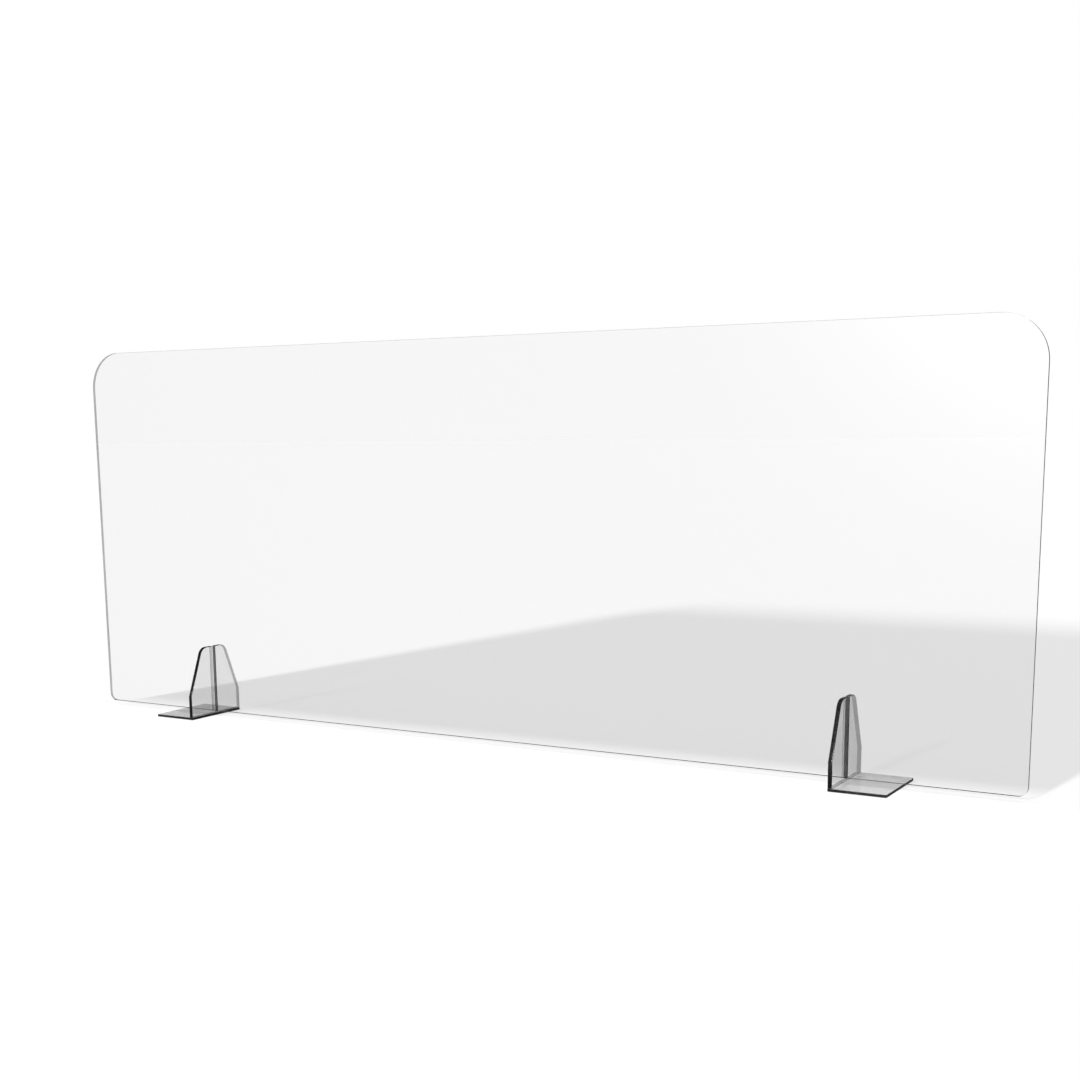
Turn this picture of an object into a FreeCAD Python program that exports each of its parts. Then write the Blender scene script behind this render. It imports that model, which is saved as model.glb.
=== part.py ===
import FreeCAD
import Part
import math
import os

# Free-standing desk privacy screen, in millimetres.
# A clear acrylic panel stands on its long edge in two slotted, L-shaped acrylic feet. Each foot is an
# upright plate bonded on one end of a thinner base plate, and it rests on four thin clear pads.
# The two feet are the same part, turned to face away from each other.
# The origin is on the desk under the middle of the panel: +X runs along it, +Y to its back, +Z up.

# The panel, a sheet on edge with its length along X.
panel_length = 1600.0
panel_height = 600.0
panel_thickness = 6.0
panel_top_radius = 60.0
panel_bottom_radius = 13.0

# The feet. foot_inset runs from the end of the panel to the middle of the upright's thickness.
foot_inset = 242.0
foot_width = 80.0
foot_depth = 118.0
base_thickness = 4.0
base_corner_radius = 3.0

# The upright's outline, with its heights above the base plate: straight sides up to the shoulder, then
# slanting in to a narrow round top. An uncut bridge joins its halves under the slot.
upright_thickness = 6.0
upright_height = 114.5
shoulder_height = 35.5
bridge_height = 3.5
upright_top_width = 56.0
upright_top_radius = 16.0
slot_mouth_radius = 1.0

# Clear pads under each base plate.
pad_diameter = 10.0
pad_thickness = 0.5
pad_inset = 11.0

# Clearances and finishing.
slot_clearance = 0.3    # on each side of the panel, in the slot
edge_break = 0.5        # chamfer along every cut edge that a hand can reach

# Heights and places that follow from the sizes above.
base_top = pad_thickness + base_thickness
panel_underside = base_top + bridge_height
slot_half_width = panel_thickness / 2 + slot_clearance
upright_middle_x = panel_length / 2 - foot_inset
foot_inner_x = upright_middle_x - upright_thickness / 2
foot_outer_x = foot_inner_x + foot_width

# The right foot points along +X and the left foot along -X.
SIDES = {"left": -1, "right": 1}
ROWS = {"front": -1, "back": 1}
COLUMNS = {"inner": foot_inner_x + pad_inset, "outer": foot_outer_x - pad_inset}


def rounded_face(corners):
    """A flat face inside corners, each a (point, radius) pair; a radius of 0 keeps its corner sharp."""
    arcs = []
    for i, (corner, radius) in enumerate(corners):
        to_last = (corners[i - 1][0] - corner).normalize()
        to_next = (corners[(i + 1) % len(corners)][0] - corner).normalize()
        half_angle = to_last.getAngle(to_next) / 2
        reach = radius / math.tan(half_angle)
        inwards = (to_last + to_next).normalize()
        middle = corner + inwards * (radius / math.sin(half_angle) - radius)
        arcs.append((corner + to_last * reach, middle, corner + to_next * reach, radius))
    edges = []
    for i, (start, middle, end, radius) in enumerate(arcs):
        if radius > 0:
            edges.append(Part.Arc(start, middle, end).toShape())
        edges.append(Part.LineSegment(end, arcs[(i + 1) % len(arcs)][0]).toShape())
    return Part.Face(Part.Wire(edges))


def break_edges(solid, wanted):
    """The solid with a small chamfer on each edge for which wanted(middle of the edge) is true."""
    edges = [edge for edge in solid.Edges if wanted(edge.CenterOfMass)]
    return solid.makeChamfer(edge_break, edges)


def facing(shape, side):
    """The right foot's shape for side 1, and the same shape turned half round for side -1."""
    if side < 0:
        shape.rotate(FreeCAD.Vector(0, 0, 0), FreeCAD.Vector(0, 0, 1), 180)
    return shape


def panel():
    """The clear sheet, with large round top corners and small bottom ones."""
    half_length = panel_length / 2
    front = -panel_thickness / 2
    top = panel_underside + panel_height
    outline = rounded_face([
        (FreeCAD.Vector(-half_length, front, panel_underside), panel_bottom_radius),
        (FreeCAD.Vector(half_length, front, panel_underside), panel_bottom_radius),
        (FreeCAD.Vector(half_length, front, top), panel_top_radius),
        (FreeCAD.Vector(-half_length, front, top), panel_top_radius),
    ])
    sheet = outline.extrude(FreeCAD.Vector(0, panel_thickness, 0))
    return break_edges(sheet, lambda middle: abs(middle.y) > panel_thickness / 2 - edge_break / 2)


def foot_upright(side):
    """The upright plate, cut down its middle by the slot that the panel drops into."""
    half_depth = foot_depth / 2
    half_top = upright_top_width / 2
    shoulder = base_top + shoulder_height
    top = base_top + upright_height
    half_outline = [
        (half_depth, base_top, 0.0),
        (half_depth, shoulder, 0.0),
        (half_top, top, upright_top_radius),
        (slot_half_width, top, slot_mouth_radius),
        (slot_half_width, panel_underside, 0.0),
    ]
    mirrored = [(-y, z, radius) for y, z, radius in reversed(half_outline)]
    outline = rounded_face([
        (FreeCAD.Vector(foot_inner_x, y, z), radius) for y, z, radius in half_outline + mirrored
    ])
    plate = outline.extrude(FreeCAD.Vector(upright_thickness, 0, 0))

    def on_a_free_edge(middle):
        """True on the outlines of both large faces, away from the bond and the slot's floor."""
        on_face = abs(middle.x - upright_middle_x) > upright_thickness / 2 - edge_break / 2
        return on_face and middle.z > panel_underside + edge_break

    return facing(break_edges(plate, on_a_free_edge), side)


def foot_base(side):
    """The base plate under the upright, that lies along the desk."""
    half_depth = foot_depth / 2
    outline = rounded_face([
        (FreeCAD.Vector(foot_inner_x, -half_depth, pad_thickness), 0.0),
        (FreeCAD.Vector(foot_outer_x, -half_depth, pad_thickness), base_corner_radius),
        (FreeCAD.Vector(foot_outer_x, half_depth, pad_thickness), base_corner_radius),
        (FreeCAD.Vector(foot_inner_x, half_depth, pad_thickness), 0.0),
    ])
    plate = outline.extrude(FreeCAD.Vector(0, 0, base_thickness))

    def on_a_free_edge(middle):
        """True on the top face's edges, apart from the one under the upright."""
        return middle.z > base_top - edge_break / 2 and middle.x > foot_inner_x + edge_break

    return facing(break_edges(plate, on_a_free_edge), side)


def foot_pad(side, row, column_x):
    """One thin round pad under the base plate."""
    y = row * (foot_depth / 2 - pad_inset)
    pad = Part.makeCylinder(pad_diameter / 2, pad_thickness, FreeCAD.Vector(column_x, side * y, 0))
    return facing(pad, side)


def all_parts():
    """Every sub-part by its node's name."""
    parts = {"screen_panel": panel()}
    for side_name, side in SIDES.items():
        parts[f"{side_name}_foot_upright"] = foot_upright(side)
        parts[f"{side_name}_foot_base"] = foot_base(side)
        for row_name, row in ROWS.items():
            for column_name, column_x in COLUMNS.items():
                name = f"{side_name}_foot_pad_{row_name}_{column_name}"
                parts[name] = foot_pad(side, row, column_x)
    return parts


os.makedirs("parts", exist_ok=True)
for node, shape in all_parts().items():
    shape.exportStep(f"parts/{node}.step")
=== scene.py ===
"""Free-standing desk privacy panel: a clear acrylic sheet on edge in two slotted acrylic feet.

Everything is in metres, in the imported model's frame: +X along the panel, +Y to its back, +Z up,
and the origin on the desk under the panel's middle.
"""

import logging
import math
from collections.abc import Mapping, Sequence
from dataclasses import dataclass
from enum import Enum
from typing import Any

import bmesh
import bpy
from mathutils import Matrix, Vector


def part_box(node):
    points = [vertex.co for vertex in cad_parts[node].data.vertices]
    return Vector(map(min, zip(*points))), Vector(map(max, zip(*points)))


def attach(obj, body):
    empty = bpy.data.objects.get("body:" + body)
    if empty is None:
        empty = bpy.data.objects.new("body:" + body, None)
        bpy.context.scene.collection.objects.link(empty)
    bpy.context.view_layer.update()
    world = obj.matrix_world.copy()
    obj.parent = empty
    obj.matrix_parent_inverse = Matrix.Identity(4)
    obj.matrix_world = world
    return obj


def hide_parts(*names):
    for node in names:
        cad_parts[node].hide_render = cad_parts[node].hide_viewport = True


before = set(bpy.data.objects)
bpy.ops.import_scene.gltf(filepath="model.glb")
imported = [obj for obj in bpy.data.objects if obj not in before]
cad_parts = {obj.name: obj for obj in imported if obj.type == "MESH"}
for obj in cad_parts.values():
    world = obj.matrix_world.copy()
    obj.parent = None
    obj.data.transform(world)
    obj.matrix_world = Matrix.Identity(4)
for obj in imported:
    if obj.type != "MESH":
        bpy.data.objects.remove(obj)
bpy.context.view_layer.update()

log = logging.getLogger("privacy_panel")

MM = 0.001
ACRYLIC_IOR = 1.49
POLYURETHANE_IOR = 1.5

# Material slots of a cut sheet.
FACE_SLOT, EDGE_SLOT, WALL_SLOT = 0, 1, 2

# A normal faces a direction when its share along it is over ALONG, and an edge's is under ASIDE.
ALONG = 0.9
ASIDE = 0.5

# Rounding of a cut sheet's edges: bends sharper than SHARP_BEND get POLISH_SEGMENTS faces.
SHARP_BEND = math.radians(50)
POLISH_SEGMENTS = 3
FLAT_FACE_WEIGHT = 100
SEAM = 1e-5


def grey(level: float) -> tuple[float, float, float, float]:
    """A neutral colour."""
    return (level, level, level, 1.0)


class Side(Enum):
    """The two feet, by the direction in which the base plate points along X."""

    LEFT = -1
    RIGHT = 1

    @property
    def foot(self) -> str:
        """The foot's name in the frame, which is its body's name too."""
        return f"{self.name.lower()}_foot"


class Across(Enum):
    """The axis along which a sheet is thin, which is the axis that its cut edges' marks follow."""

    X = 0
    Y = 1
    Z = 2

    def stretch(self, along: float, over: float) -> tuple[float, float, float]:
        """A scale of `along` in the sheet's two long directions and `over` across its thickness."""
        scale = [along, along, along]
        scale[self.value] = over
        return tuple(scale)


class Value:
    """A number's socket in a node tree. Arithmetic on it adds Math nodes."""

    def __init__(self, tree: bpy.types.NodeTree, socket: bpy.types.NodeSocket) -> None:
        """Wraps one output socket of the tree."""
        self.tree = tree
        self.socket = socket

    def math(self, operation: str, *operands: "Value | float") -> "Value":
        """Adds one Math node.

        Args:
            operation: The node's operation, such as "MULTIPLY".
            operands: Sockets or plain numbers, in the order of the node's inputs.

        Returns:
            The node's result.
        """
        node = self.tree.nodes.new("ShaderNodeMath")
        node.operation = operation
        for slot, operand in zip(node.inputs, operands):
            if isinstance(operand, Value):
                self.tree.links.new(operand.socket, slot)
            else:
                slot.default_value = operand
        return Value(self.tree, node.outputs[0])

    def __add__(self, other: "Value | float") -> "Value":
        """self + other."""
        return self.math("ADD", self, other)

    def __radd__(self, other: float) -> "Value":
        """other + self."""
        return self.math("ADD", other, self)

    def __sub__(self, other: "Value | float") -> "Value":
        """self - other."""
        return self.math("SUBTRACT", self, other)

    def __rsub__(self, other: float) -> "Value":
        """other - self."""
        return self.math("SUBTRACT", other, self)

    def __mul__(self, other: "Value | float") -> "Value":
        """self * other."""
        return self.math("MULTIPLY", self, other)

    def __rmul__(self, other: float) -> "Value":
        """other * self."""
        return self.math("MULTIPLY", other, self)

    def __truediv__(self, other: "Value | float") -> "Value":
        """self / other."""
        return self.math("DIVIDE", self, other)

    def __pow__(self, exponent: float) -> "Value":
        """self to the power of exponent."""
        return self.math("POWER", self, exponent)

    def __gt__(self, limit: "Value | float") -> "Value":
        """1 where self is more than limit, and 0 elsewhere."""
        return self.math("GREATER_THAN", self, limit)

    def __lt__(self, limit: "Value | float") -> "Value":
        """1 where self is less than limit, and 0 elsewhere."""
        return self.math("LESS_THAN", self, limit)

    def magnitude(self) -> "Value":
        """self without its sign."""
        return self.math("ABSOLUTE", self)

    def between(self, low: float, high: float) -> "Value":
        """self, kept between low and high."""
        return self.math("MINIMUM", self.math("MAXIMUM", self, low), high)


class Tree:
    """A node tree that nodes are added to by type, settings and socket values."""

    def __init__(self, tree: bpy.types.NodeTree) -> None:
        """Empties the tree."""
        self.tree = tree
        tree.nodes.clear()

    def node(
        self,
        kind: str,
        settings: Mapping[str, Any] | None = None,
        sockets: Mapping[str | int, Any] | None = None,
    ) -> bpy.types.Node:
        """Adds a node, sets it and joins it up.

        Args:
            kind: The node's type, such as "ShaderNodeTexNoise".
            settings: The node's own settings.
            sockets: Values, Value objects or output sockets, by the input's name or number.

        Returns:
            The node.
        """
        node = self.tree.nodes.new(kind)
        for name, setting in (settings or {}).items():
            setattr(node, name, setting)
        for name, given in (sockets or {}).items():
            if isinstance(given, Value):
                given = given.socket
            if isinstance(given, bpy.types.NodeSocket):
                self.tree.links.new(given, node.inputs[name])
            else:
                node.inputs[name].default_value = given
        return node

    def value(self, node: bpy.types.Node, output: str | int) -> Value:
        """One of a node's outputs, for arithmetic."""
        return Value(self.tree, node.outputs[output])


class Shape(Tree):
    """A Geometry Nodes tree with named sizes, run once to make a plain mesh."""

    def __init__(self, name: str) -> None:
        """Makes an empty tree with one geometry output."""
        super().__init__(bpy.data.node_groups.new(name, "GeometryNodeTree"))
        self.name = name
        self.sizes: dict[str, float] = {}
        self.tree.interface.new_socket("Geometry", in_out="OUTPUT", socket_type="NodeSocketGeometry")
        self.source = self.tree.nodes.new("NodeGroupInput")

    def size(self, name: str, metres: float) -> Value:
        """A named input of the tree, with its value in metres."""
        entry = self.tree.interface.new_socket(name, in_out="INPUT", socket_type="NodeSocketFloat")
        self.sizes[entry.identifier] = metres
        return Value(self.tree, self.source.outputs[name])

    def corner(self, x: Value | float, y: Value | float, z: Value | float) -> bpy.types.NodeSocket:
        """A vector from three numbers."""
        return self.node("ShaderNodeCombineXYZ", {}, {0: x, 1: y, 2: z}).outputs[0]

    def make(
        self, geometry: bpy.types.NodeSocket, dressed: Sequence[tuple[bpy.types.Material, Any]]
    ) -> bpy.types.Object:
        """Ends the tree and turns its result into a plain mesh object at the origin.

        Args:
            geometry: What the tree has made.
            dressed: The materials in slot order, each with the faces that it covers, or None for all.

        Returns:
            The object, with no modifier left on it.
        """
        last = self.node("GeometryNodeRealizeInstances", {}, {"Geometry": geometry}).outputs[0]
        for material, faces in dressed:
            sockets = {"Geometry": last, "Material": material}
            if faces is not None:
                sockets["Selection"] = faces
            last = self.node("GeometryNodeSetMaterial", {}, sockets).outputs[0]
        self.node("NodeGroupOutput", {}, {0: last})
        piece = new_object(self.name, bpy.data.meshes.new(self.name))
        recipe = piece.modifiers.new("shape", "NODES")
        recipe.node_group = self.tree
        for identifier, metres in self.sizes.items():
            recipe[identifier] = metres
        return made_plain(piece)


def new_object(name: str, mesh: bpy.types.Mesh) -> bpy.types.Object:
    """Puts a mesh into the scene as an object at the origin."""
    piece = bpy.data.objects.new(name, mesh)
    bpy.context.scene.collection.objects.link(piece)
    return piece


def made_plain(piece: bpy.types.Object) -> bpy.types.Object:
    """Turns a piece's modifiers into plain mesh.

    Args:
        piece: An object with modifiers.

    Returns:
        The same object, with the finished mesh and no modifiers.
    """
    graph = bpy.context.evaluated_depsgraph_get()
    finished = bpy.data.meshes.new_from_object(
        piece.evaluated_get(graph), preserve_all_data_layers=True, depsgraph=graph
    )
    rough = piece.data
    piece.modifiers.clear()
    piece.data = finished
    bpy.data.meshes.remove(rough)
    finished.name = piece.name
    return piece


def with_soft_edges(piece: bpy.types.Object, radius: float, edge_slot: int) -> bpy.types.Object:
    """Rounds a cut sheet's sharp edges as flame polishing does.

    Args:
        piece: A closed mesh with flat faces.
        radius: How far the rounding reaches on each face, in metres.
        edge_slot: The material slot that the rounding takes.

    Returns:
        The same object, rounded and smooth-shaded.
    """
    bevel = piece.modifiers.new("polish", "BEVEL")
    bevel.width = radius
    bevel.segments = POLISH_SEGMENTS
    bevel.limit_method = "ANGLE"
    bevel.angle_limit = SHARP_BEND
    bevel.material = edge_slot
    bevel.use_clamp_overlap = True
    made_plain(piece)
    piece.data.polygons.foreach_set("use_smooth", [True] * len(piece.data.polygons))
    weighted = piece.modifiers.new("shading", "WEIGHTED_NORMAL")
    weighted.weight = FLAT_FACE_WEIGHT
    return made_plain(piece)


def rounded_outline(corners: Sequence[tuple[Vector, float]], steps: int) -> list[Vector]:
    """Points round a flat outline whose corners may be rounded.

    Args:
        corners: Each corner with its radius; a radius of 0 keeps it sharp.
        steps: The number of straight pieces in each rounded corner.

    Returns:
        The outline's points in order.
    """
    points: list[Vector] = []
    for i, (corner, radius) in enumerate(corners):
        if radius == 0:
            points.append(corner)
            continue
        to_last = (corners[i - 1][0] - corner).normalized()
        to_next = (corners[(i + 1) % len(corners)][0] - corner).normalized()
        half_angle = to_last.angle(to_next) / 2
        reach = radius / math.tan(half_angle)
        centre = corner + (to_last + to_next).normalized() * (radius / math.sin(half_angle))
        start = corner + to_last * reach - centre
        end = corner + to_next * reach - centre
        turn = start.angle(end)
        for step in range(steps + 1):
            share = step / steps
            blend = start * math.sin((1 - share) * turn) + end * math.sin(share * turn)
            points.append(centre + blend / math.sin(turn))
    return points


def cut_sheet(
    name: str,
    outline: Sequence[Vector],
    depth: Vector,
    materials: Sequence[bpy.types.Material],
    bonded: Vector | None = None,
) -> bpy.types.Object:
    """A flat sheet cut to an outline, with its faces in FACE_SLOT and its cut edges in EDGE_SLOT.

    Args:
        name: The piece's name.
        outline: The points round one large face.
        depth: From that face to the other one.
        materials: The finishes in slot order: the face's, the edge's, then any that the caller uses.
        bonded: The direction in which an edge is bonded to another sheet and reads as clear.

    Returns:
        The sheet as a closed mesh at the origin.
    """
    made = bmesh.new()
    face = made.faces.new([made.verts.new(point) for point in outline])
    extruded = bmesh.ops.extrude_face_region(made, geom=[face], use_keep_orig=True)
    bmesh.ops.translate(
        made, vec=depth, verts=[item for item in extruded["geom"] if isinstance(item, bmesh.types.BMVert)]
    )
    bmesh.ops.recalc_face_normals(made, faces=made.faces)
    through = depth.normalized()
    for face in made.faces:
        joined = bonded is not None and face.normal.dot(bonded) > ALONG
        on_face = joined or abs(face.normal.dot(through)) > ALONG
        face.material_index = FACE_SLOT if on_face else EDGE_SLOT
    mesh = bpy.data.meshes.new(name)
    made.to_mesh(mesh)
    made.free()
    for material in materials:
        mesh.materials.append(material)
    return new_object(name, mesh)


class Finish:
    """A material's node tree. Each finish fills it in `surface`."""

    name: str

    def surface(self, nodes: Tree) -> bpy.types.NodeSocket:
        """Adds the finish's nodes and returns the shader."""
        raise NotImplementedError

    def material(self) -> bpy.types.Material:
        """The finish as a new material."""
        material = bpy.data.materials.new(self.name)
        material.use_nodes = True
        nodes = Tree(material.node_tree)
        shader = self.surface(nodes)
        nodes.node("ShaderNodeOutputMaterial", {}, {"Surface": shader})
        return material


def gloss_share(nodes: Tree) -> Value:
    """How much acrylic reflects at the angle it is seen from, the same from inside and outside.

    Args:
        nodes: The material's tree.

    Returns:
        The reflected share, from about 0.04 face-on to 1 at a grazing angle.
    """
    from_inside = nodes.value(nodes.node("ShaderNodeNewGeometry"), "Backfacing")
    index = ACRYLIC_IOR + (1 / ACRYLIC_IOR - ACRYLIC_IOR) * from_inside
    return nodes.value(nodes.node("ShaderNodeFresnel", {}, {"IOR": index}), 0)


def marks(
    nodes: Tree, stretch: tuple[float, float, float], detail: float = 2.0, distortion: float = 0.0
) -> Value:
    """Noise from 0 to 1 that is stretched along an axis.

    Args:
        nodes: The material's tree.
        stretch: How many times the pattern changes in a metre, along X, Y and Z.
        detail: The noise's octaves.
        distortion: How far the noise is bent by itself.

    Returns:
        The noise.
    """
    place = nodes.node("ShaderNodeTexCoord").outputs["Object"]
    mapped = nodes.node("ShaderNodeMapping", {}, {"Vector": place, "Scale": stretch}).outputs[0]
    noise = nodes.node(
        "ShaderNodeTexNoise",
        {},
        {"Vector": mapped, "Scale": 1.0, "Detail": detail, "Distortion": distortion},
    )
    return nodes.value(noise, 0)


@dataclass(frozen=True)
class ClearFace(Finish):
    """The polished face of clear cast acrylic: a light tint, a mirror gloss and a faint waviness."""

    name: str
    tint: float
    shade: float
    full_shade_above: tuple[float, float] | None = None
    roughness: float = 0.012
    wave: float = 0.02
    waves_per_metre: float = 7.0
    hairlines_per_metre: tuple[float, float, float] = (900.0, 60.0, 40.0)
    hairline_above: float = 0.68
    hairline_haze: float = 0.02

    def surface(self, nodes: Tree) -> bpy.types.NodeSocket:
        """Adds the finish's nodes and returns the shader."""
        seen = nodes.node("ShaderNodeBsdfTransparent", {}, {"Color": grey(self.tint)})
        shading = nodes.node("ShaderNodeBsdfTransparent", {}, {"Color": grey(self.shade)})
        for_light = nodes.value(nodes.node("ShaderNodeLightPath"), "Is Shadow Ray")
        clear = nodes.node(
            "ShaderNodeMixShader",
            {},
            {0: for_light * self.shaded_share(nodes), 1: seen.outputs[0], 2: shading.outputs[0]},
        )
        waviness = marks(nodes, (self.waves_per_metre,) * 3, detail=1.0)
        hairlines = marks(nodes, self.hairlines_per_metre, detail=3.0, distortion=0.6)
        bump = nodes.node(
            "ShaderNodeBump", {}, {"Strength": 1.0, "Distance": self.wave * MM, "Height": waviness}
        )
        haze = self.roughness + self.hairline_haze * (hairlines > self.hairline_above)
        gloss = nodes.node(
            "ShaderNodeBsdfAnisotropic",
            {},
            {"Color": grey(1.0), "Roughness": haze, "Normal": bump.outputs[0]},
        )
        both = nodes.node(
            "ShaderNodeMixShader",
            {},
            {0: gloss_share(nodes) * (1 - for_light), 1: clear.outputs[0], 2: gloss.outputs[0]},
        )
        return both.outputs[0]

    def shaded_share(self, nodes: Tree) -> Value | float:
        """How much of the shade the sheet casts at a height: light spills under its lowest part."""
        if self.full_shade_above is None:
            return 1.0
        clear_at, full_at = self.full_shade_above
        place = nodes.node("ShaderNodeTexCoord").outputs["Object"]
        height = nodes.value(nodes.node("ShaderNodeSeparateXYZ", {}, {0: place}), "Z")
        return ((height - clear_at) / (full_at - clear_at)).between(0.0, 1.0)


@dataclass(frozen=True)
class CutEdge(Finish):
    """A flame-polished cut edge, painted as a grey line: its dark grey is painted shade that stands in for
    the darkness refraction shows in a clear edge, while the polishing lines across it are the edge's own
    marks.
    """

    name: str
    across: Across
    dark: float
    pale: float
    outside: float
    inside: float
    shadow: float = 0.05
    gloss: float = 0.3
    line_pitch: float = 1.6 * MM
    line_stretch: float = 0.06
    drift_per_metre: float = 14.0

    def surface(self, nodes: Tree) -> bpy.types.NodeSocket:
        """Adds the finish's nodes and returns the shader."""
        pitch = 1 / self.line_pitch
        lines = marks(nodes, self.across.stretch(pitch, pitch * self.line_stretch), detail=2.0)
        drift = marks(nodes, (self.drift_per_metre,) * 3, detail=2.0)
        depth = (0.65 * lines + 0.35 * drift).between(0.25, 0.75) * 2 - 0.5
        # Painted shade: the dark and pale greys stand in for the darkness refraction shows in a clear edge;
        # the lines and drift that mix them are the edge's own polishing marks.
        colour = nodes.node(
            "ShaderNodeMix",
            {"data_type": "RGBA"},
            {0: depth, 6: grey(self.dark), 7: grey(self.pale)},
        )
        bump = nodes.node(
            "ShaderNodeBump", {}, {"Strength": 0.6, "Distance": 0.02 * MM, "Height": lines}
        )
        body = nodes.node(
            "ShaderNodeBsdfPrincipled",
            {},
            {
                "Base Color": colour.outputs[2],
                "Roughness": 0.08 + 0.1 * lines,
                "IOR": ACRYLIC_IOR,
                "Specular IOR Level": self.gloss,
                "Normal": bump.outputs[0],
            },
        )
        clear = nodes.node("ShaderNodeBsdfTransparent", {}, {"Color": grey(1.0)})
        # Painted shade: the edge is more solid seen from outside than from inside the sheet, standing in
        # for how refraction darkens it.
        from_inside = nodes.value(nodes.node("ShaderNodeNewGeometry"), "Backfacing")
        solid = self.outside + (self.inside - self.outside) * from_inside
        for_light = nodes.value(nodes.node("ShaderNodeLightPath"), "Is Shadow Ray")
        solid = solid * (1.1 - 0.2 * depth) * (1 - (1 - self.shadow) * for_light)
        both = nodes.node(
            "ShaderNodeMixShader", {}, {0: solid.between(0.0, 1.0), 1: clear.outputs[0], 2: body.outputs[0]}
        )
        return both.outputs[0]


@dataclass(frozen=True)
class Bond(Finish):
    """Cured solvent cement in the corner of a joint: clear, with a few fine bubbles."""

    name: str
    colour: float
    solid: float = 0.35
    cells_per_metre: float = 900.0
    bubble_reach: float = 0.22

    def surface(self, nodes: Tree) -> bpy.types.NodeSocket:
        """Adds the finish's nodes and returns the shader."""
        place = nodes.node("ShaderNodeTexCoord").outputs["Object"]
        cells = nodes.node("ShaderNodeTexVoronoi", {}, {"Vector": place, "Scale": self.cells_per_metre})
        bubble = nodes.value(cells, "Distance") < self.bubble_reach
        body = nodes.node(
            "ShaderNodeBsdfPrincipled",
            {},
            {
                "Base Color": grey(self.colour),
                "Roughness": 0.1 + 0.25 * bubble,
                "IOR": ACRYLIC_IOR,
                "Alpha": self.solid + 0.25 * bubble,
            },
        )
        return body.outputs[0]


@dataclass(frozen=True)
class SoftPad(Finish):
    """Clear polyurethane that has lost its first gloss, with a fine moulded grain."""

    name: str
    colour: float
    solid: float = 0.15
    grains_per_metre: float = 2500.0
    clouds_per_metre: float = 160.0

    def surface(self, nodes: Tree) -> bpy.types.NodeSocket:
        """Adds the finish's nodes and returns the shader."""
        grain = marks(nodes, (self.grains_per_metre,) * 3, detail=2.0)
        cloud = marks(nodes, (self.clouds_per_metre,) * 3, detail=2.0)
        bump = nodes.node(
            "ShaderNodeBump", {}, {"Strength": 0.4, "Distance": 0.03 * MM, "Height": grain}
        )
        body = nodes.node(
            "ShaderNodeBsdfPrincipled",
            {},
            {
                "Base Color": grey(self.colour),
                "Roughness": 0.38 + 0.2 * grain,
                "IOR": POLYURETHANE_IOR,
                "Alpha": self.solid + 0.2 * cloud,
                "Normal": bump.outputs[0],
            },
        )
        return body.outputs[0]


@dataclass(frozen=True)
class StudioFloor(Finish):
    """A plain matt white studio floor."""

    name: str = "studio floor"
    albedo: float = 0.8

    def surface(self, nodes: Tree) -> bpy.types.NodeSocket:
        """Adds the finish's nodes and returns the shader."""
        paint = nodes.node("ShaderNodeBsdfDiffuse", {}, {"Color": grey(self.albedo)})
        return paint.outputs[0]


def settle(
    piece: bpy.types.Object, body: str, replaced: Sequence[str] = ()
) -> bpy.types.Object:
    """Gives a finished piece its body and hides the nodes that it stands for.

    Args:
        piece: The finished piece.
        body: The body that it moves with.
        replaced: The nodes that it replaces.

    Returns:
        The same piece.
    """
    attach(piece, body)
    if replaced:
        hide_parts(*replaced)
    log.info("%s rides on %s, %d faces", piece.name, body, len(piece.data.polygons))
    return piece


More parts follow.
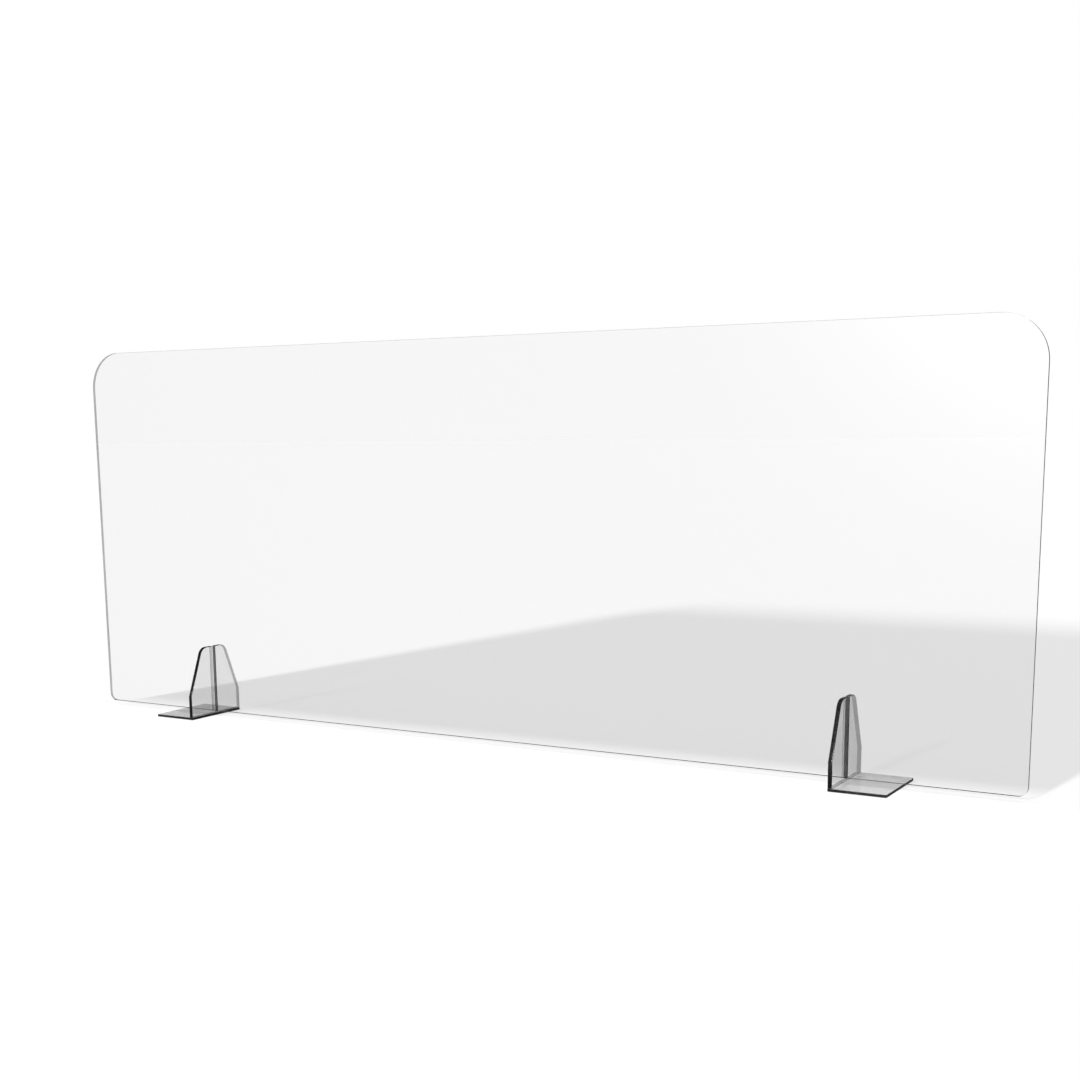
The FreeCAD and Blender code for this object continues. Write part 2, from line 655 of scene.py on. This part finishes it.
@dataclass
class Screen:
    """The clear sheet that stands on edge, with large round top corners and small bottom ones."""

    top_radius: float = 60 * MM
    bottom_radius: float = 13 * MM
    polish: float = 0.6 * MM
    corner_steps: int = 40
    face: ClearFace = ClearFace(
        "clear acrylic face", tint=0.994, shade=0.82, full_shade_above=(10 * MM, 34 * MM)
    )
    # The panel's cut edge is painted dark grey: painted shade for the look refraction gives a clear edge.
    edge: CutEdge = CutEdge(
        "clear acrylic cut edge", Across.Y, dark=0.035, pale=0.17, outside=1.0, inside=0.6, shadow=0.3
    )
    # Painted shade: the lower edge is painted darker than the other edges and solid from inside too, for
    # the shade it sits in next to the desk.
    underside: CutEdge = CutEdge(
        "clear acrylic lower edge", Across.Y, dark=0.01, pale=0.06, outside=1.0, inside=1.0, shadow=0.3
    )

    def build(self) -> bpy.types.Object:
        """Makes the sheet from its rule: a rectangle, rounded by height, filled and thickened.

        Returns:
            The finished piece.
        """
        low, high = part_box("screen_panel")
        shape = Shape("screen_sheet")
        length = shape.size("Length", high.x - low.x)
        height = shape.size("Height", high.z - low.z)
        thickness = shape.size("Thickness", high.y - low.y)
        underside = shape.size("Underside", low.z)
        top_radius = shape.size("Top Radius", self.top_radius)
        bottom_radius = shape.size("Bottom Radius", self.bottom_radius)

        rectangle = shape.node(
            "GeometryNodeCurvePrimitiveQuadrilateral", {"mode": "RECTANGLE"}, {0: length, 1: height}
        )
        place = shape.node("GeometryNodeInputPosition").outputs[0]
        up = shape.value(shape.node("ShaderNodeSeparateXYZ", {}, {0: place}), "Y") > 0.0
        radius = bottom_radius + (top_radius - bottom_radius) * up
        rounded = shape.node(
            "GeometryNodeFilletCurve",
            {"mode": "POLY"},
            {"Curve": rectangle.outputs[0], "Count": self.corner_steps, "Radius": radius},
        )
        flat = shape.node("GeometryNodeFillCurve", {"mode": "NGONS"}, {0: rounded.outputs[0]})
        front = shape.node(
            "GeometryNodeTransform",
            {},
            {
                "Geometry": flat.outputs[0],
                "Translation": shape.corner(0.0, thickness / 2, underside + height / 2),
                "Rotation": (math.pi / 2, 0.0, 0.0),
            },
        )
        back = shape.node("GeometryNodeFlipFaces", {}, {0: front.outputs[0]})
        thick = shape.node(
            "GeometryNodeExtrudeMesh",
            {"mode": "FACES"},
            {"Mesh": front.outputs[0], "Offset Scale": thickness, "Individual": False},
        )
        both = self.closed(shape, thick.outputs[0], back.outputs[0])
        normal = shape.node("GeometryNodeInputNormal").outputs[0]
        parts = shape.node("ShaderNodeSeparateXYZ", {}, {0: normal})
        on_edge = shape.value(parts, "Y").magnitude() < ASIDE
        # Faces that point down take the lower edge's painted shade.
        below = shape.value(parts, "Z") < -ALONG
        piece = shape.make(
            both,
            [
                (self.face.material(), None),
                (self.edge.material(), on_edge.socket),
                (self.underside.material(), below.socket),
            ],
        )
        with_soft_edges(piece, self.polish, EDGE_SLOT)
        return settle(piece, "panel", ["screen_panel"])

    @staticmethod
    def closed(
        shape: Shape, thick: bpy.types.NodeSocket, back: bpy.types.NodeSocket
    ) -> bpy.types.NodeSocket:
        """Closes the thickened sheet with its back face and merges the seam."""
        join = shape.node("GeometryNodeJoinGeometry")
        shape.tree.links.new(thick, join.inputs[0])
        shape.tree.links.new(back, join.inputs[0])
        merged = shape.node(
            "GeometryNodeMergeByDistance", {}, {"Geometry": join.outputs[0], "Distance": SEAM}
        )
        return merged.outputs[0]


@dataclass
class Foot:
    """One slotted foot: an upright plate bonded on one end of a thinner base plate, on four pads."""

    side: Side
    upright_edge: bpy.types.Material
    base_edge: bpy.types.Material
    slot_wall: bpy.types.Material
    upright_face: bpy.types.Material
    base_face: bpy.types.Material
    bond: bpy.types.Material
    rubber: bpy.types.Material
    shoulder_height: float = 35.5 * MM
    top_width: float = 56 * MM
    top_radius: float = 16 * MM
    mouth_radius: float = 1 * MM
    slot_clearance: float = 0.3 * MM
    base_radius: float = 3 * MM
    upright_polish: float = 0.7 * MM
    base_polish: float = 0.4 * MM
    bead_radius: float = 0.5 * MM
    bond_gap: float = 0.02 * MM
    upright_corner_steps: int = 16
    base_corner_steps: int = 10
    bead_sides: int = 12
    bead_points: int = 24
    bead_out: float = 0.8
    pad_sides: int = 40
    pad_rings: int = 4
    pad_narrowing: float = 0.09
    pad_polish: float = 0.15 * MM

    def build(self) -> None:
        """Makes every piece of the foot."""
        self.build_upright()
        self.build_base()
        self.build_bond()
        self.build_pads()

    def node(self, part: str) -> str:
        """The name of one of the foot's nodes."""
        return f"{self.side.foot}_{part}"

    def keep(self, piece: bpy.types.Object, replaced: Sequence[str] = ()) -> None:
        """Settles a finished piece on the foot's body."""
        settle(piece, self.side.foot, replaced)

    def build_upright(self) -> None:
        """The upright plate, with its shoulders, its narrow round top and the slot down its middle."""
        low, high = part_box(self.node("upright"))
        panel_low, panel_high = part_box("screen_panel")
        slot_half = (panel_high.y - panel_low.y) / 2 + self.slot_clearance
        half_outline = [
            (high.y, low.z + self.bond_gap, 0.0),
            (high.y, low.z + self.shoulder_height, 0.0),
            (self.top_width / 2, high.z, self.top_radius),
            (slot_half, high.z, self.mouth_radius),
            (slot_half, panel_low.z, 0.0),
        ]
        mirrored = [(-y, z, radius) for y, z, radius in reversed(half_outline)]
        outline = rounded_outline(
            [(Vector((low.x, y, z)), radius) for y, z, radius in half_outline + mirrored],
            self.upright_corner_steps,
        )
        name = self.node("upright_plate")
        plate = cut_sheet(
            name,
            outline,
            Vector((high.x - low.x, 0.0, 0.0)),
            [self.upright_face, self.upright_edge, self.slot_wall],
            bonded=Vector((0.0, 0.0, -1.0)),
        )
        for wall in plate.data.polygons:
            in_slot = abs(wall.center.y) < slot_half + self.mouth_radius
            if wall.material_index == EDGE_SLOT and in_slot:
                wall.material_index = WALL_SLOT
        with_soft_edges(plate, self.upright_polish, EDGE_SLOT)
        self.keep(plate, [self.node("upright")])

    def build_base(self) -> None:
        """The base plate that lies along the desk, under the upright."""
        low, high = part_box(self.node("base"))
        inner_x, outer_x = (low.x, high.x) if self.side is Side.RIGHT else (high.x, low.x)
        outline = rounded_outline(
            [
                (Vector((inner_x, low.y, low.z)), 0.0),
                (Vector((outer_x, low.y, low.z)), self.base_radius),
                (Vector((outer_x, high.y, low.z)), self.base_radius),
                (Vector((inner_x, high.y, low.z)), 0.0),
            ],
            self.base_corner_steps,
        )
        plate = cut_sheet(
            self.node("base_plate"),
            outline,
            Vector((0.0, 0.0, high.z - low.z)),
            [self.base_face, self.base_edge],
        )
        with_soft_edges(plate, self.base_polish, EDGE_SLOT)
        self.keep(plate, [self.node("base")])

    def build_bond(self) -> None:
        """The bead of cement along the corner between the upright and the base."""
        low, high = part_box(self.node("upright"))
        out = self.side.value
        shape = Shape(self.node("bond_bead"))
        radius = shape.size("Radius", self.bead_radius)
        half_run = shape.size("Half Run", high.y - 2 * self.bead_radius)
        joint_x = shape.size("Joint X", high.x if out > 0 else low.x)
        joint_z = shape.size("Joint Z", low.z)
        middle_x = joint_x + radius * (self.bead_out * out)
        middle_z = joint_z + radius * self.bead_out
        run = shape.node(
            "GeometryNodeCurvePrimitiveLine",
            {"mode": "POINTS"},
            {
                "Start": shape.corner(middle_x, half_run * -1, middle_z),
                "End": shape.corner(middle_x, half_run, middle_z),
            },
        )
        even = shape.node(
            "GeometryNodeResampleCurve", {}, {"Curve": run.outputs[0], "Count": self.bead_points}
        )
        ring = shape.node(
            "GeometryNodeCurvePrimitiveCircle",
            {"mode": "RADIUS"},
            {"Resolution": self.bead_sides, "Radius": radius},
        )
        bead = shape.node(
            "GeometryNodeCurveToMesh",
            {},
            {"Curve": even.outputs[0], "Profile Curve": ring.outputs[0], "Fill Caps": True},
        )
        piece = shape.make(bead.outputs[0], [(self.bond, None)])
        self.keep(piece)

    def build_pads(self) -> None:
        """The four clear pads under the base plate, as one mesh."""
        corners = [
            self.node(f"pad_{row}_{column}") for row in ("front", "back") for column in ("inner", "outer")
        ]
        boxes = [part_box(node) for node in corners]
        centres = [(low + high) / 2 for low, high in boxes]
        low, high = boxes[0]
        shape = Shape(self.node("pads"))
        radius = shape.size("Radius", (high.x - low.x) / 2)
        thickness = shape.size("Thickness", high.z - low.z)
        middle_x = shape.size("Middle X", sum(centre.x for centre in centres) / 4)
        spread_x = shape.size("Spread X", max(c.x for c in centres) - min(c.x for c in centres))
        spread_y = shape.size("Spread Y", max(c.y for c in centres) - min(c.y for c in centres))
        grid = shape.node(
            "GeometryNodeMeshGrid",
            {},
            {"Size X": spread_x, "Size Y": spread_y, "Vertices X": 2, "Vertices Y": 2},
        )
        placed = shape.node(
            "GeometryNodeTransform",
            {},
            {"Geometry": grid.outputs[0], "Translation": shape.corner(middle_x, 0.0, 0.0)},
        )
        disc = shape.node(
            "GeometryNodeMeshCylinder",
            {"fill_type": "NGON"},
            {
                "Vertices": self.pad_sides,
                "Side Segments": self.pad_rings,
                "Radius": radius,
                "Depth": thickness,
            },
        )
        place = shape.node("GeometryNodeInputPosition").outputs[0]
        parts = shape.node("ShaderNodeSeparateXYZ", {}, {0: place})
        height = shape.value(parts, "Z")
        pull = 1 - self.pad_narrowing * ((height / thickness * 2).magnitude() ** 3)
        narrowed = shape.node(
            "GeometryNodeSetPosition",
            {},
            {
                "Geometry": disc.outputs[0],
                "Position": shape.corner(
                    shape.value(parts, "X") * pull,
                    shape.value(parts, "Y") * pull,
                    height + thickness / 2,
                ),
            },
        )
        repeated = shape.node(
            "GeometryNodeInstanceOnPoints",
            {},
            {"Points": placed.outputs[0], "Instance": narrowed.outputs[0]},
        )
        piece = shape.make(repeated.outputs[0], [(self.rubber, None)])
        with_soft_edges(piece, self.pad_polish, FACE_SLOT)
        self.keep(piece, corners)


@dataclass
class Studio:
    """A plain white floor, soft light and the camera."""

    floor_reach: float = 150.0
    floor_squares: int = 8
    key_travel: tuple[float, float, float] = (0.2, 1.85, -0.607)
    key_strength: float = 8.5
    key_softness: float = 4.5
    white: float = 1.0
    fill: float = 0.42
    dim: float = 0.2
    glow: float = 4.0
    glow_from: tuple[float, float, float] = (-0.157, -0.97, 0.186)
    glow_tightness: float = 80.0
    camera_place: tuple[float, float, float] = (1.2292, -1.958, 0.4646)
    camera_turn: float = 0.5293
    camera_drop: float = 0.1782
    camera_tilt: float = -0.0083
    lens: float = 51.448
    rise: float = 0.1607
    sight: tuple[float, float] = (0.05, 1000.0)
    clear_layers: int = 32

    def build(self) -> None:
        """Sets up everything around the object."""
        self.lay_floor()
        self.light_world()
        self.hang_key()
        self.set_camera()
        scene = bpy.context.scene
        scene.view_settings.view_transform = "Standard"
        scene.cycles.transparent_max_bounces = self.clear_layers

    def lay_floor(self) -> None:
        """A wide flat floor under the object."""
        made = bmesh.new()
        squares = self.floor_squares
        bmesh.ops.create_grid(made, x_segments=squares, y_segments=squares, size=self.floor_reach)
        mesh = bpy.data.meshes.new("studio_floor")
        made.to_mesh(mesh)
        made.free()
        mesh.materials.append(StudioFloor().material())
        floor = new_object("studio_floor", mesh)
        floor.visible_glossy = False

    def light_world(self) -> None:
        """White all round for the eye, even soft fill, and a dim room with one softbox in the gloss."""
        world = bpy.data.worlds.new("studio")
        world.use_nodes = True
        nodes = Tree(world.node_tree)
        way = nodes.node("ShaderNodeTexCoord").outputs["Generated"]
        toward = Vector(self.glow_from).normalized()
        closeness = nodes.value(
            nodes.node("ShaderNodeVectorMath", {"operation": "DOT_PRODUCT"}, {0: way, 1: tuple(toward)}),
            "Value",
        )
        softbox = self.dim + self.glow * closeness.between(0.0, 1.0) ** self.glow_tightness
        rays = nodes.node("ShaderNodeLightPath")
        seen = nodes.value(rays, "Is Camera Ray")
        in_gloss = nodes.value(rays, "Is Glossy Ray")
        strength = self.white * seen + softbox * in_gloss + self.fill * (1 - seen) * (1 - in_gloss)
        backdrop = nodes.node(
            "ShaderNodeBackground", {}, {"Color": grey(1.0), "Strength": strength}
        )
        nodes.node("ShaderNodeOutputWorld", {}, {"Surface": backdrop.outputs[0]})
        bpy.context.scene.world = world

    def hang_key(self) -> None:
        """The key light, low at the front, whose soft edge blurs the panel's shadow."""
        lamp = bpy.data.lights.new("key", "SUN")
        lamp.energy = self.key_strength
        lamp.angle = math.radians(self.key_softness)
        key = bpy.data.objects.new("key", lamp)
        key.rotation_euler = Vector(self.key_travel).to_track_quat("-Z", "Y").to_euler()
        bpy.context.scene.collection.objects.link(key)

    def set_camera(self) -> None:
        """The camera, right of the middle and below the panel's top edge."""
        turn, drop = self.camera_turn, self.camera_drop
        ahead = Vector(
            (-math.sin(turn) * math.cos(drop), math.cos(turn) * math.cos(drop), -math.sin(drop))
        )
        level = Vector((math.cos(turn), math.sin(turn), 0.0))
        upright = level.cross(ahead)
        right = level * math.cos(self.camera_tilt) + upright * math.sin(self.camera_tilt)
        up = upright * math.cos(self.camera_tilt) - level * math.sin(self.camera_tilt)
        eye = bpy.data.cameras.new("camera")
        eye.lens = self.lens
        eye.shift_y = self.rise
        eye.clip_start, eye.clip_end = self.sight
        camera = bpy.data.objects.new("camera", eye)
        camera.matrix_world = Matrix.Translation(self.camera_place) @ Matrix(
            (right, up, -ahead)
        ).transposed().to_4x4()
        bpy.context.scene.collection.objects.link(camera)
        bpy.context.scene.camera = camera


def main() -> None:
    """Builds the studio, the screen and its two feet."""
    logging.basicConfig(level=logging.INFO, format="%(message)s")
    Studio().build()
    Screen().build()
    # The upright faces are tinted darker, 0.935 a face, than the base faces' 1.0.
    upright_face = ClearFace("acrylic upright face, darker tint", tint=0.935, shade=0.98).material()
    base_face = ClearFace("smoke acrylic base face", tint=1.0, shade=0.98).material()
    # Painted shade: the feet's cut edges are painted near-black, standing in for the darkness refraction
    # shows in a clear edge.
    upright_edge = CutEdge(
        "smoke acrylic upright edge", Across.X, dark=0.001, pale=0.005, outside=1.0, inside=0.55, gloss=0.12
    ).material()
    # Painted shade: the base edge's near-black stands in for refraction darkness in the edge and for the
    # contact shade under the plate.
    base_edge = CutEdge(
        "smoke acrylic base edge", Across.Z, dark=0.002, pale=0.012, outside=1.0, inside=0.3
    ).material()
    # Painted shade: the slot walls are painted dark grey for the look refraction gives them, a little
    # lighter than the other edges.
    slot_wall = CutEdge(
        "smoke acrylic slot wall", Across.X, dark=0.003, pale=0.014, outside=0.88, inside=0.42
    ).material()
    bond = Bond("solvent bond", colour=0.3).material()
    rubber = SoftPad("clear polyurethane", colour=0.62).material()
    for side in Side:
        Foot(
            side, upright_edge, base_edge, slot_wall, upright_face, base_face, bond, rubber
        ).build()


if __name__ == "__main__":
    main()
